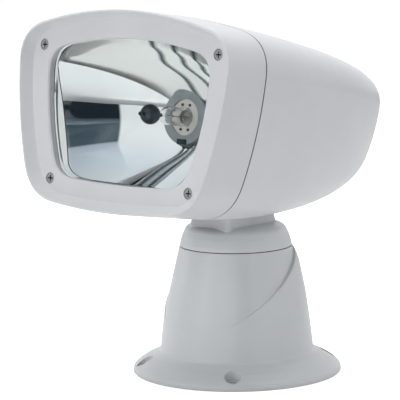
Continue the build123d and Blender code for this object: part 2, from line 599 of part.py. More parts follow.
save("shell_inserts", *[
    tilted(pipe(x, h, SHELL_FRONT, SHELL_FRONT + INSERT_LEN, INSERT_R, SCREW_SHANK_R + SEAT)) for x, h in screw_spots
])

# Bezel
bezel = stack([(RIM_D, grow(OUT_RIM, -RIM_EDGE)), (RIM_D + 0.3 * RIM_EDGE, grow(OUT_RIM, -0.3 * RIM_EDGE)),
               (RIM_D + RIM_EDGE, OUT_RIM), (SEAM_D, OUT_SEAM)])
LIP = grow(OUT_RIM, -1.6)
bezel -= stack([(RIM_D - 0.1, LIP), (0.75 * RIM_D, blend_outline(LIP, OUT_FLAT, 0.22)),
                (0.4 * RIM_D, blend_outline(LIP, OUT_FLAT, 0.55)),
                (0.12 * RIM_D, blend_outline(LIP, OUT_FLAT, 0.84)), (0.0, OUT_FLAT)])
bezel -= stack([(FACE_T, grow(OUT_SEAM, -7)), (FACE_T + 5, grow(OUT_SEAM, -4)), (SEAM_D, grow(OUT_SEAM, -WALL))])
bezel -= slab(OUT_WINDOW, -1, FACE_T + 1)
bezel -= stack([(-0.2, grow(OUT_WINDOW, 1.2)), (1.0, OUT_WINDOW)])
REFLECTOR_FRONT = FACE_T + LENS_GASKET_T + GLASS_T
lug_spots = [(sx * x, h) for sx in (-1, 1) for x, h in ((85.0, 22.0), (77.0, -22.0))]
for x, h in screw_spots:
    bezel += rod(x, h, FACE_T - 0.5, SEAM_D, SCREW_BOSS_R)
    bezel -= rod(x, h, -1, SEAM_D + 1, SCREW_SHANK_R + SEAT)
    bezel -= rod(x, h, -1, 2.4, SCREW_HEAD_R + 0.4)
for x, h in lug_spots:
    bezel += rod(x, h, FACE_T - 0.5, REFLECTOR_FRONT, 3.6)
    bezel -= rod(x, h, FACE_T, REFLECTOR_FRONT + 1, 1.2 + SEAT)
save("bezel", tilted(bezel))
save("bezel_screws", *[
    tilted(Plane(origin=(x, FACE_Y + 0.4, PIVOT_Z + AXIS_Z + h), z_dir=(0, 1, 0))
           * cross_screw(SCREW_HEAD_R, 2.0, SCREW_SHANK_R, SHELL_FRONT + INSERT_LEN - 1)) for x, h in screw_spots
])
seam_gasket = slab(grow(OUT_SEAM, -0.7), SEAM_D, SHELL_FRONT) - slab(grow(OUT_SEAM, -WALL), SEAM_D - 1, SHELL_FRONT + 1)
save("seam_gasket", tilted(seam_gasket))

# Front glass
lens_gasket = slab(grow(OUT_WINDOW, LENS_MARGIN), FACE_T, FACE_T + LENS_GASKET_T)
lens_gasket -= slab(grow(OUT_WINDOW, 0.4), 0, 20)
save("lens_gasket", tilted(lens_gasket))
GLASS_FRONT = FACE_T + LENS_GASKET_T
save("lens_glass", tilted(slab(grow(OUT_WINDOW, LENS_MARGIN), GLASS_FRONT, REFLECTOR_FRONT)))

# Reflector
def mirror_bowl(back):
    """Paraboloid that closes at the depth back, open end towards the face."""
    edge = 84.0
    y = FACE_Y + back
    y_edge = y - edge ** 2 / (4 * FOCUS)
    half = make_face([Bezier((0, y), (edge / 2, y), (edge, y_edge)),
                      Line((edge, y_edge), (0, y_edge)), Line((0, y_edge), (0, y))])
    return Pos(0, 0, PIVOT_Z + AXIS_Z + LAMP_H) * revolve(half, Axis.Y, 360)


def mirror_walls(d):
    """Outline of the side walls, floor and arched roof that trim the bowl at the depth d."""
    roof = LAMP_H + sqrt(4 * ROOF_FOCUS * (MIRROR_BACK - d))
    return (OUT_WINDOW[0] + 1, roof - ROOF_ARCH, ROOF_ARCH, OUT_WINDOW[3] + 1.5, OUT_WINDOW[4] - 1, 2.5, 5.0,
            2.0, 2.0, 12.0, 12.0)


wall_depths = (13.0, 20.0, 28.0, 36.0, 44.0, 51.0, 57.0, 62.0, 66.5)
inside = stack([(REFLECTOR_FRONT, grow(OUT_WINDOW, 1))] + [(d, mirror_walls(d)) for d in wall_depths])
outside = stack([(REFLECTOR_FRONT, grow(OUT_WINDOW, 1 + MIRROR_T))]
                + [(d + 0.5, grow(mirror_walls(d), MIRROR_T)) for d in wall_depths]
                + [(MIRROR_BACK + MIRROR_T + 1, grow(mirror_walls(wall_depths[-1]), MIRROR_T))])

reflector = (mirror_bowl(MIRROR_BACK + MIRROR_T) & outside) - (mirror_bowl(MIRROR_BACK) & inside)
plate_rim = slab(grow(OUT_WINDOW, LENS_MARGIN), REFLECTOR_FRONT, REFLECTOR_FRONT + RIM_T)
for x, h in lug_spots:
    lug_x0, lug_x1 = sorted((x, 0.85 * x))
    plate_rim += rod(x, h, REFLECTOR_FRONT, REFLECTOR_FRONT + RIM_T, 3.6)
    plate_rim += block(lug_x0, lug_x1, FACE_Y + REFLECTOR_FRONT, FACE_Y + REFLECTOR_FRONT + RIM_T,
                       PIVOT_Z + AXIS_Z + h - 3.6, PIVOT_Z + AXIS_Z + h + 3.6)
reflector += plate_rim - inside
reflector -= rod(0, LAMP_H, 50, 90, COLLAR_R + SEAT)
for x, h in lug_spots:
    reflector -= rod(x, h, 0, 30, 1.2 + SEAT)
save("reflector", tilted(reflector))
save("reflector_screws", *[
    tilted(Plane(origin=(x, FACE_Y + REFLECTOR_FRONT + RIM_T + 1.4, PIVOT_Z + AXIS_Z + h), z_dir=(0, -1, 0))
           * cross_screw(2.3, 1.4, 1.2, 6.5)) for x, h in lug_spots
])

# Lamp and holder
collar = pipe(0, LAMP_H, COLLAR_FRONT, COLLAR_BACK, COLLAR_R, COLLAR_BORE)
collar += pipe(0, LAMP_H, COLLAR_BACK, COLLAR_BACK + 2, COLLAR_R + 4, COLLAR_BORE)
save("lamp_collar", tilted(collar))
BASE_FRONT = COLLAR_FRONT + 1.5
SOCKET_FRONT = COLLAR_BACK + 2
lamp_base = rod(0, LAMP_H, BASE_FRONT, SOCKET_FRONT, COLLAR_BORE - SEAT)
lamp_base -= rod(0, LAMP_H, 0, SOCKET_FRONT - 2, BULB_R + SEAT)
rivets = [(sx * 3.4, LAMP_H + sy * 8.6) for sx in (-1, 1) for sy in (-1, 1)]
for x, h in rivets:
    lamp_base -= rod(x, h, BASE_FRONT - 1, SOCKET_FRONT, 0.9 + SEAT)
save("lamp_base", tilted(lamp_base))
save("lamp_rivets", *[tilted(rod(x, h, BASE_FRONT - 0.8, SOCKET_FRONT, 0.9)) for x, h in rivets])
bulb_body = rod(0, LAMP_H, BULB_FRONT + BULB_R, SOCKET_FRONT - 2, BULB_R)
lamp_centre = Vector(0, FACE_Y + BULB_FRONT + BULB_R, PIVOT_Z + AXIS_Z + LAMP_H)
bulb_body += Pos(lamp_centre) * Sphere(BULB_R)
hollow = rod(0, LAMP_H, BULB_FRONT + BULB_R, SOCKET_FRONT - 5, BULB_R - 1) + Pos(lamp_centre) * Sphere(BULB_R - 1)
save("bulb_glass", tilted(bulb_body - hollow))
posts = rod(-2.5, LAMP_H, 48.5, SOCKET_FRONT - 5, 0.45) + rod(2.5, LAMP_H, 48.5, SOCKET_FRONT - 5, 0.45)
posts += Pos(0, FACE_Y + 49.0, PIVOT_Z + AXIS_Z + LAMP_H) * Rot(0, 90, 0) * Cylinder(0.9, 5.4)
save("bulb_filament", tilted(posts))
glare = Pos(0, FACE_Y + CAP_CENTRE, PIVOT_Z + AXIS_Z + LAMP_H) * Sphere(GLARE_R)
glare += rod(0, LAMP_H, NUB_FRONT, CAP_CENTRE, 1.4)
glare += rod(0, LAMP_H, CAP_CENTRE, BULB_FRONT - SEAT, 1.3)
save("glare_cap", tilted(glare))
socket = rod(0, LAMP_H, SOCKET_FRONT, SOCKET_FRONT + 13, 15.0) + rod(0, LAMP_H, SOCKET_FRONT, SOCKET_FRONT + 3, COLLAR_R + 4)
TERMINAL_X = 5.0
for sx in (-1, 1):
    socket -= block(sx * TERMINAL_X - 0.5, sx * TERMINAL_X + 0.5, FACE_Y + SOCKET_FRONT + 3, FACE_Y + SOCKET_FRONT + 14,
                    PIVOT_Z + AXIS_Z + LAMP_H - 3.2, PIVOT_Z + AXIS_Z + LAMP_H + 3.2)
save("lamp_socket", tilted(socket))
terminals = [
    tilted(block(sx * TERMINAL_X - 0.4, sx * TERMINAL_X + 0.4, FACE_Y + SOCKET_FRONT + 3.2, FACE_Y + SOCKET_FRONT + 21,
                 PIVOT_Z + AXIS_Z + LAMP_H - 3.1, PIVOT_Z + AXIS_Z + LAMP_H + 3.1)) for sx in (-1, 1)
]
save("lamp_terminals", *terminals)
clip_h = LAMP_H - COLLAR_R + 1.4
lamp_clip = block(-4, 4, FACE_Y + COLLAR_FRONT - 1.2, FACE_Y + COLLAR_FRONT, PIVOT_Z + AXIS_Z + clip_h - 1.2,
                  PIVOT_Z + AXIS_Z + clip_h + 2.4)
save("lamp_clip", tilted(lamp_clip))
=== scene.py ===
# Marine searchlight: materials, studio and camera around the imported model.
from bisect import bisect_left
from math import atan2, cos, hypot, pi, radians, sin, sqrt

import bmesh
import bpy
from mathutils import Matrix, Vector


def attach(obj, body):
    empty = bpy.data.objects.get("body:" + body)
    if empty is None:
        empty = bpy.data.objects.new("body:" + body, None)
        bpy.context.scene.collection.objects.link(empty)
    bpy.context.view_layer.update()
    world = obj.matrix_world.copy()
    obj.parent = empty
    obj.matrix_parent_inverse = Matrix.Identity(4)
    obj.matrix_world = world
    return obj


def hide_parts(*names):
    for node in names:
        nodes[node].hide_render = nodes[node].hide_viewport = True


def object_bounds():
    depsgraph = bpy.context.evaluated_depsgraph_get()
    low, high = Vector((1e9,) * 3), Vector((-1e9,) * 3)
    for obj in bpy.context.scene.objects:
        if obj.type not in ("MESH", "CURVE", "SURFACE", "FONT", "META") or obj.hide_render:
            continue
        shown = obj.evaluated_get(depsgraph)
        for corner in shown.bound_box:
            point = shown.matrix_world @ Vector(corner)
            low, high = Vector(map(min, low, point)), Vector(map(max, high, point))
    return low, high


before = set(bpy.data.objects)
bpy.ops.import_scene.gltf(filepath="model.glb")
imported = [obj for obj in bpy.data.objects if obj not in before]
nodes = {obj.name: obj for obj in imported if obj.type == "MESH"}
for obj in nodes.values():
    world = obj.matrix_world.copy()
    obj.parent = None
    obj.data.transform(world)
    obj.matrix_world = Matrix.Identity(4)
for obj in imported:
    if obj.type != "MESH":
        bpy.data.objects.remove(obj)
cad_low, cad_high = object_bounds()

MM = 0.001
TO_MM = 1000.0
TO_DEGREES = 180 / pi

# Camera, solved from the photograph
PHOTO_SIZE = 400
CAMERA_AZIMUTH = 42.0
CAMERA_ELEVATION = 8.342
CAMERA_ROLL = 0.769
CAMERA_PLACE = (1.06576, -1.22145, 0.36140)
FOCAL_PIXELS = 2285.94
SENSOR_MM = 36.0

# Head at rest: its axes, a point of the tilt axis, how far ahead of it the face is, and the seam's depth behind
# the face. Both distances are in millimetres.
REST_TILT = radians(8.388)
UP_FACE = Vector((0, sin(REST_TILT), cos(REST_TILT)))
INTO_HEAD = Vector((0, cos(REST_TILT), -sin(REST_TILT)))
PIVOT = Vector((0, 0, 0.158))
FACE_AHEAD = 118.64
SEAM_DEPTH = 28.0


def add_camera():
    azimuth = radians(CAMERA_AZIMUTH)
    elevation = radians(CAMERA_ELEVATION)
    roll = radians(CAMERA_ROLL)
    back = Vector((sin(azimuth) * cos(elevation), -cos(azimuth) * cos(elevation), sin(elevation)))
    right = Vector((cos(azimuth), sin(azimuth), 0))
    up = back.cross(right)
    turned_right = cos(roll) * right - sin(roll) * up
    turned_up = sin(roll) * right + cos(roll) * up
    data = bpy.data.cameras.new("photo_camera")
    data.sensor_width = SENSOR_MM
    data.lens = SENSOR_MM * FOCAL_PIXELS / PHOTO_SIZE
    data.clip_end = 50
    camera = bpy.data.objects.new("photo_camera", data)
    axes = Matrix((turned_right, turned_up, back)).transposed().to_4x4()
    camera.matrix_world = Matrix.Translation(CAMERA_PLACE) @ axes
    bpy.context.collection.objects.link(camera)
    bpy.context.scene.camera = camera


add_camera()
bpy.context.scene.view_settings.view_transform = "Standard"


# Shader nodes
SHADER = "Principled BSDF"


def new_material(name):
    material = bpy.data.materials.new(name)
    material.use_nodes = True
    tree = material.node_tree
    return material, tree, tree.nodes[SHADER]


def feed(tree, socket, value):
    """Links an output to a socket, or sets a plain number, vector or colour."""
    if isinstance(value, bpy.types.NodeSocket):
        tree.links.new(value, socket)
    else:
        socket.default_value = value


def compute(tree, operation, *values):
    node = tree.nodes.new("ShaderNodeMath")
    node.operation = operation
    for socket, value in zip(node.inputs, values):
        feed(tree, socket, value)
    return node.outputs["Value"]


def compute_vector(tree, operation, first, second=None):
    node = tree.nodes.new("ShaderNodeVectorMath")
    node.operation = operation
    feed(tree, node.inputs[0], first)
    if second is not None:
        feed(tree, node.inputs["Scale" if operation == "SCALE" else 1], second)
    return node.outputs["Value" if operation == "DOT_PRODUCT" else "Vector"]


def map_range(tree, value, start, end=(0.0, 1.0)):
    """A value carried from one range to another and held at its ends."""
    node = tree.nodes.new("ShaderNodeMapRange")
    for name, number in zip(("From Min", "From Max", "To Min", "To Max"), (*start, *end)):
        node.inputs[name].default_value = number
    tree.links.new(value, node.inputs["Value"])
    return node.outputs["Result"]


def colour_ramp(tree, value, stops):
    """Colour along a value from 0 to 1, by stops of (value, colour)."""
    node = tree.nodes.new("ShaderNodeValToRGB")
    bands = node.color_ramp.elements
    while len(bands) < len(stops):
        bands.new(0.5)
    for band, (at, colour) in zip(bands, stops):
        band.position = at
        band.color = (*colour, 1)
    tree.links.new(value, node.inputs["Fac"])
    return node.outputs["Color"]


def mix_colour(tree, amount, first, second):
    mix = tree.nodes.new("ShaderNodeMixRGB")
    for name, value in zip(("Fac", "Color1", "Color2"), (amount, first, second)):
        feed(tree, mix.inputs[name], value)
    return mix.outputs["Color"]


def noise(tree, scale, detail=4.0):
    place = tree.nodes.new("ShaderNodeTexCoord")
    texture = tree.nodes.new("ShaderNodeTexNoise")
    texture.inputs["Scale"].default_value = scale
    texture.inputs["Detail"].default_value = detail
    tree.links.new(place.outputs["Object"], texture.inputs["Vector"])
    return texture.outputs["Fac"]


# Materials
DRIFT = (0.35, 0.65)
COAT_ROUGHNESS = 0.12
GRAIN_DEPTH = 0.0002
GLASS_IOR = 1.5
# Colour of the painted shade in recesses
RECESS_SHADE = (0.005, 0.005, 0.006)
# Colour of the painted shade along joints
JOINT_SHADE = (0.03, 0.032, 0.036)
# Colour of the painted dark reflections along the mirror's steps
STEP_REFLECTION_COLOUR = (0.035, 0.075, 0.09)

# Upright part of a wall's normal where it counts as roof in full, and where it no longer does
ROOF_NORMAL = -0.45
SIDE_NORMAL = -0.1


def vary_colour(tree, shader, drift, dark, light):
    colour = colour_ramp(tree, drift, [(DRIFT[0], dark), (DRIFT[1], light)])
    tree.links.new(colour, shader.inputs["Base Color"])


def vary_roughness(tree, shader, drift, low, high):
    tree.links.new(map_range(tree, drift, (0.0, 1.0), (low, high)), shader.inputs["Roughness"])


def add_bump(tree, shader, grain, strength):
    bump = tree.nodes.new("ShaderNodeBump")
    bump.inputs["Strength"].default_value = strength
    bump.inputs["Distance"].default_value = GRAIN_DEPTH
    tree.links.new(grain, bump.inputs["Height"])
    tree.links.new(bump.outputs["Normal"], shader.inputs["Normal"])


def surface(name, dark, light, rough, metallic=0.0, grain=900.0, bump=0.05, patch=18.0, coat=0.0,
            specular=0.5):
    """Opaque material with drifting colour, uneven roughness and a fine grain."""
    material, tree, shader = new_material(name)
    shader.inputs["Metallic"].default_value = metallic
    shader.inputs["Specular IOR Level"].default_value = specular
    shader.inputs["Coat Weight"].default_value = coat
    shader.inputs["Coat Roughness"].default_value = COAT_ROUGHNESS
    drift = noise(tree, patch)
    vary_colour(tree, shader, drift, dark, light)
    vary_roughness(tree, shader, drift, *rough)
    add_bump(tree, shader, noise(tree, grain, 2.0), bump)
    return material


def clear(name, colour):
    """Clear glass with a trace of unevenness."""
    material, tree, shader = new_material(name)
    shader.inputs["Base Color"].default_value = (*colour, 1)
    shader.inputs["Transmission Weight"].default_value = 1.0
    shader.inputs["IOR"].default_value = GLASS_IOR
    vary_roughness(tree, shader, noise(tree, 30.0), 0.0, 0.01)
    return material


def depth_in(tree, piece, point, inward):
    """Depth in a piece behind a plane, which keeps to the piece when it moves."""
    to_piece = piece.matrix_world.inverted()
    normal = (to_piece.to_3x3() @ inward).normalized()
    place = tree.nodes.new("ShaderNodeTexCoord")
    along = compute_vector(tree, "DOT_PRODUCT", place.outputs["Object"], normal)
    return compute(tree, "SUBTRACT", along, (to_piece @ point).dot(normal))


def darken(tree, amount, colour):
    base = tree.nodes[SHADER].inputs["Base Color"]
    mixed = mix_colour(tree, amount, base.links[0].from_socket, (*colour, 1))
    tree.links.new(mixed, base)


def paint_shade_below(material, piece, point, inward, blend):
    """Paints shade on what lies deeper in the piece than a plane, such as the cross in a screw head."""
    tree = material.node_tree
    darken(tree, map_range(tree, depth_in(tree, piece, point, inward), (0.0, blend)), RECESS_SHADE)


def paint_joint_shade(material, piece, point, inward, dark, unshaded):
    """Painted shade along a joint in a plane, full up to one distance and gone at the other."""
    tree = material.node_tree
    away = compute(tree, "ABSOLUTE", depth_in(tree, piece, point, inward))
    darken(tree, map_range(tree, away, (dark, unshaded), (1.0, 0.0)), JOINT_SHADE)


def to_world(tree, vector):
    turn = tree.nodes.new("ShaderNodeVectorTransform")
    turn.vector_type = "VECTOR"
    turn.convert_from = "OBJECT"
    turn.convert_to = "WORLD"
    feed(tree, turn.inputs["Vector"], vector)
    return turn.outputs["Vector"]


def lean_normal(tree, lean):
    """Adds a vector to the shading normal. It changes what a surface mirrors, and stands for no finer form."""
    plain = tree.nodes.new("ShaderNodeNewGeometry")
    total = compute_vector(tree, "ADD", plain.outputs["Normal"], lean)
    tree.links.new(compute_vector(tree, "NORMALIZE", total), tree.nodes[SHADER].inputs["Normal"])


def face_forward(material, forward, sides, roof):
    """Leans the shading normal towards the opening, so that the surface mirrors what is ahead of the lamp."""
    tree = material.node_tree
    place = tree.nodes.new("ShaderNodeTexCoord")
    split = tree.nodes.new("ShaderNodeSeparateXYZ")
    tree.links.new(place.outputs["Normal"], split.inputs["Vector"])
    amount = map_range(tree, split.outputs["Z"], (ROOF_NORMAL, SIDE_NORMAL), (roof, sides))
    lean_normal(tree, compute_vector(tree, "SCALE", to_world(tree, forward), amount))


def face_inward(material, centre, amount):
    """Leans the shading normal towards a point."""
    tree = material.node_tree
    place = tree.nodes.new("ShaderNodeTexCoord")
    away = compute_vector(tree, "SUBTRACT", centre, place.outputs["Object"])
    unit = compute_vector(tree, "NORMALIZE", away)
    lean_normal(tree, to_world(tree, compute_vector(tree, "SCALE", unit, amount)))


housing = surface("housing", (0.588, 0.606, 0.616), (0.618, 0.636, 0.643), (0.30, 0.36),
                  grain=1400.0, bump=0.03, coat=0.15)
housing_head = surface("housing_head", (0.612, 0.620, 0.643), (0.642, 0.650, 0.670), (0.30, 0.36),
                       grain=1400.0, bump=0.03, coat=0.15)
rubber = surface("rubber", (0.020, 0.020, 0.022), (0.035, 0.035, 0.037), (0.6, 0.75))
steel = surface("steel", (0.42, 0.42, 0.43), (0.55, 0.55, 0.56), (0.28, 0.42), metallic=1.0, patch=120.0)
brass = surface("brass", (0.55, 0.38, 0.14), (0.68, 0.50, 0.22), (0.25, 0.4), metallic=1.0, patch=80.0)
acetal = surface("acetal", (0.08, 0.08, 0.085), (0.11, 0.11, 0.115), (0.4, 0.5))
cast = surface("cast_alloy", (0.50, 0.51, 0.52), (0.60, 0.61, 0.62), (0.35, 0.5),
               metallic=0.9, grain=500.0, bump=0.15)
motor = surface("motor_can", (0.12, 0.13, 0.14), (0.17, 0.18, 0.19), (0.35, 0.45), metallic=0.6)
board = surface("board", (0.01, 0.10, 0.05), (0.02, 0.15, 0.08), (0.35, 0.5))
seam_black = surface("seam_black", (0.004, 0.004, 0.005), (0.009, 0.009, 0.010), (0.8, 0.9), specular=0.1)
silicone = surface("silicone", (0.80, 0.81, 0.84), (0.84, 0.85, 0.88), (0.5, 0.6))
screw_steel = surface("screw_steel", (0.34, 0.345, 0.36), (0.44, 0.445, 0.46), (0.35, 0.5),
                      metallic=0.5, patch=300.0)
mirror_rim = surface("mirror_rim", (0.82, 0.825, 0.84), (0.86, 0.865, 0.88), (0.03, 0.05), metallic=1.0)
# Painted shade along the fold between the mirror's walls and bowl
painted_fold_shade = surface("painted_fold_shade", (0.07, 0.085, 0.095), (0.10, 0.115, 0.125), (0.5, 0.6), specular=0.2)
black = surface("black_plastic", (0.015, 0.015, 0.017), (0.03, 0.03, 0.032), (0.4, 0.55))
mirror = surface("mirror", (0.88, 0.895, 0.91), (0.91, 0.925, 0.935), (0.012, 0.03),
                 metallic=1.0, grain=40.0, bump=0.0)
mirror_wall = surface("mirror_wall", (0.775, 0.785, 0.77), (0.805, 0.815, 0.80), (0.10, 0.14),
                      metallic=1.0, bump=0.0)
collar = surface("collar_metal", (0.44, 0.49, 0.52), (0.53, 0.58, 0.61), (0.3, 0.45),
                 metallic=0.3, patch=150.0)
ceramic = surface("ceramic", (0.91, 0.88, 0.80), (0.95, 0.92, 0.85), (0.45, 0.6), grain=700.0, bump=0.1)
dark_metal = surface("dark_metal", (0.06, 0.07, 0.09), (0.10, 0.12, 0.14), (0.35, 0.45), metallic=0.7)
lens = clear("lens_clear", (0.97, 0.99, 0.985))
bulb = clear("bulb_clear", (0.99, 0.99, 0.99))

finishes = {
    housing: ["pedestal", "turret"],
    housing_head: ["rear_shell", "bezel"],
    rubber: ["base_gasket", "cable_grommet"],
    seam_black: ["seam_gasket", "swivel_seal"],
    silicone: ["lens_gasket"],
    screw_steel: ["bezel_screws"],
    steel: ["base_plate_screws", "board_screws", "motor_plate_screws", "reflector_screws",
            "bracket_screws", "pan_shaft", "pan_circlip", "thrust_washer", "tilt_shaft", "tilt_circlips",
            "tilt_washers", "sector_spacers", "bulb_filament"],
    brass: ["pan_bush", "tilt_bushes", "shell_inserts", "lamp_terminals", "pan_pinion", "tilt_pinion"],
    acetal: ["pan_gear", "tilt_sector", "base_plate"],
    cast: ["motor_plate", "tilt_bracket"],
    motor: ["pan_motor", "tilt_motor"],
    board: ["control_board"],
    black: ["board_relays", "board_connector", "lamp_socket"],
    mirror: ["reflector"],
    collar: ["lamp_collar"],
    ceramic: ["lamp_base"],
    dark_metal: ["glare_cap", "lamp_rivets", "lamp_clip"],
    lens: ["lens_glass"],
    bulb: ["bulb_glass"],
}
for material, names in finishes.items():
    for name in names:
        for slot in nodes[name].material_slots:
            slot.material = material

# The crosses of the face screws start this far under the heads' tops, in metres
CROSS_DEPTH = 0.00025
CROSS_BLEND = 0.0003
# Painted shade along the head's seam, full up to the first distance and gone at the second, in metres
SEAM_SHADE_REACH = (0.00035, 0.00060)

screws = nodes["bezel_screws"]
corners = (screws.matrix_world @ v.co for v in screws.data.vertices)
screw_top = min(corners, key=lambda p: p.dot(INTO_HEAD))
# Painted shade in the crosses of the face screws
paint_shade_below(screw_steel, screws, screw_top + CROSS_DEPTH * INTO_HEAD, INTO_HEAD, CROSS_BLEND)

seam_at = PIVOT + MM * (SEAM_DEPTH - FACE_AHEAD) * INTO_HEAD
# Painted shade on the head's housing along the seam between bezel and rear shell
paint_joint_shade(housing_head, nodes["bezel"], seam_at, INTO_HEAD, *SEAM_SHADE_REACH)
face_forward(mirror_wall, -INTO_HEAD, 1.35, 2.5)
face_forward(silicone, nodes["lens_gasket"].matrix_world.inverted().to_3x3() @ -INTO_HEAD, 1.2, 1.2)


# Steps of the mirror from front to back: where they run in millimetres across, how they bend with the square of
# the depth, the depth where the bend starts, and whether they run straight before it
ROOF_STEPS = ((6.0, 26.0, 44.0), 0.012, 37.0, False)
BOWL_STEPS = ((-18.0, -11.5), 0.07, 45.0, True)
STEP_WAVE = 2.2
STEP_WAVE_LENGTH = 4.5
STEP_RAISE = 0.8
STEP_HALF = 3.2
# Half width of the painted dark reflection along a step, in millimetres
STEP_REFLECTION_HALF = 4.5
STEP_START = 3
BOWL_STEPS_TOP = -12.0
BOWL_STEPS_FADE = 8.3


def step_height(x, d, steps):
    """How far a pressed step stands out of the mirror at a point."""
    lines, bend, level, straight_before = steps
    depth = max(0, d - level) if straight_before else d - level
    across = x - bend * depth ** 2 + STEP_WAVE * sin(d / STEP_WAVE_LENGTH)
    near = max(0, 1 - min(abs(across - line) for line in lines) / STEP_HALF)
    return STEP_RAISE * near * near * (3 - 2 * near)


def paint_step_reflections(material, piece, front, steps, below=None):
    """Painted dark reflection in the material along the pressed steps, in the same places as step_height."""
    lines, bend, level, straight_before = steps
    tree = material.node_tree
    place = tree.nodes.new("ShaderNodeTexCoord")
    split = tree.nodes.new("ShaderNodeSeparateXYZ")
    tree.links.new(place.outputs["Object"], split.inputs["Vector"])
    behind = compute(tree, "MULTIPLY", depth_in(tree, piece, front, INTO_HEAD), TO_MM)
    depth = compute(tree, "SUBTRACT", behind, level)
    if straight_before:
        depth = compute(tree, "MAXIMUM", depth, 0.0)
    shift = compute(tree, "MULTIPLY", compute(tree, "MULTIPLY", depth, depth), bend)
    swing = compute(tree, "SINE", compute(tree, "DIVIDE", behind, STEP_WAVE_LENGTH))
    wave = compute(tree, "MULTIPLY", swing, STEP_WAVE)
    across = compute(tree, "MULTIPLY", split.outputs["X"], TO_MM)
    across = compute(tree, "ADD", compute(tree, "SUBTRACT", across, shift), wave)
    nearest = None
    for line in lines:
        gap = compute(tree, "ABSOLUTE", compute(tree, "SUBTRACT", across, line))
        nearest = gap if nearest is None else compute(tree, "MINIMUM", nearest, gap)
    share = compute(tree, "SUBTRACT", 1.0, compute(tree, "DIVIDE", nearest, STEP_REFLECTION_HALF))
    amount = compute(tree, "MAXIMUM", share, 0.0)
    if below is not None:
        height = compute(tree, "MINIMUM", depth_in(tree, piece, below, UP_FACE), 0.0)
        under = compute(tree, "MULTIPLY", height, -TO_MM / BOWL_STEPS_FADE)
        amount = compute(tree, "MULTIPLY", amount, compute(tree, "MINIMUM", under, 1.0))
    darken(tree, amount, STEP_REFLECTION_COLOUR)


# Mirror of the reflector, finely meshed from the sizes of the solid, in millimetres. Depths are behind the face.
# Outlines of the face are (half width, height and crown of the top, the same of the bottom, bow of the sides,
# reach of the top corners across and down, reach of the bottom corners across and up).
WINDOW = (74.0, 44.0, 9.3, 58.5, -43.5, 2.5, 5.0, 15.0, 15.0, 14.0, 14.0)
FACE_ABOVE = 18.12
LAMP_H = 3.7
MIRROR_BACK = 69.5
BOWL_FOCUS = 27.0
ROOF_FOCUS = 9.5
ROOF_ARCH = 16.3
ROOF_FROM = 0.3
PLATE_D = (9.55, 11.0)
FRONT_BLEND = 3.5
SHEET = 1.6
COLLAR_HOLE = 19.25
OPENING_MARGIN = 0.4
WALL_MARGIN = 1
PLATE_MARGIN = 4
BACK_SHIFT = 0.3
CORNER_GROWTH = 0.6
FOLD_HALF = 0.28
LUGS = [(sx * x, h) for sx in (-1, 1) for x, h in ((85.0, 22.0), (77.0, -22.0))]
LUG_RADIUS = 3.6
LUG_REACH = 0.93
LUG_SINK = 0.02

# Fineness of the mesh
STEPS_OUTLINE = 96
STEPS_ROUND = 480
STEPS_WALL = 40
STEPS_BOWL = 80
STEPS_BACK = 16
STEPS_LUG = 4
HALVINGS = 40
DEPTHS = 200
DEPTH_STEP = 0.3
CREASE = radians(28)

SKINS = (mirror, mirror_wall, painted_fold_shade, mirror_rim)
SKIN_BOWL, SKIN_WALL, SKIN_FOLD, SKIN_RIM = range(4)


def in_head(x, h, d):
    """Point of the head at rest, from millimetres across, up and behind the face."""
    return PIVOT + MM * (Vector((x, 0, 0)) + (FACE_ABOVE + h) * UP_FACE + (d - FACE_AHEAD) * INTO_HEAD)


def grow(o, t):
    """An outline made larger by a margin."""
    a = CORNER_GROWTH * t
    return (o[0] + t, o[1] + t, o[2], o[3] + t, o[4] - t, o[5], o[6], *(reach + a for reach in o[7:]))


def meet(p, t, q, u):
    """Point where the line through p along t crosses the line through q along u."""
    k = ((q[0] - p[0]) * u[1] - (q[1] - p[1]) * u[0]) / (t[0] * u[1] - t[1] * u[0])
    return (p[0] + k * t[0], p[1] + k * t[1])


def outline_points(o):
    """Points round an outline of the face, made of eight tangent curves."""
    tw, th, tc, bw, bh, bc, bow, tx, ts, bx, bs = o
    height = th - bh

    def side(s):
        return (tw + (bw - tw) * s + 4 * bow * s * (1 - s), th - height * s)

    def slope(s):
        return (bw - tw + 4 * bow * (1 - 2 * s), -height)

    kt = tc / tw ** 2
    kb = bc / bw ** 2
    at = tw - tx
    ab = bw - bx
    s1 = ts / height
    s2 = 1 - bs / height
    top = (at, th + tc - kt * at ** 2)
    low = (ab, bh - bc + kb * ab ** 2)
    corner_top = meet(top, (1, -2 * kt * at), side(s1), slope(s1))
    corner_low = meet(side(s2), slope(s2), low, (1, 2 * kb * ab))
    belly = meet(side(s1), slope(s1), side(s2), slope(s2))

    def flip(p):
        return (-p[0], p[1])

    curves = [(flip(top), (0, th + tc + kt * at ** 2), top),
              (top, corner_top, side(s1)),
              (side(s1), belly, side(s2)),
              (side(s2), corner_low, low),
              (low, (0, bh - bc - kb * ab ** 2), flip(low)),
              (flip(low), flip(corner_low), flip(side(s2))),
              (flip(side(s2)), flip(belly), flip(side(s1))),
              (flip(side(s1)), flip(corner_top), flip(top))]
    points = []
    for a, b, c in curves:
        for n in range(STEPS_OUTLINE):
            t = n / STEPS_OUTLINE
            points.append([(1 - t) ** 2 * a[k] + 2 * t * (1 - t) * b[k] + t * t * c[k] for k in (0, 1)])
    return points


def angle_at(n):
    return -pi + 2 * pi * n / STEPS_ROUND


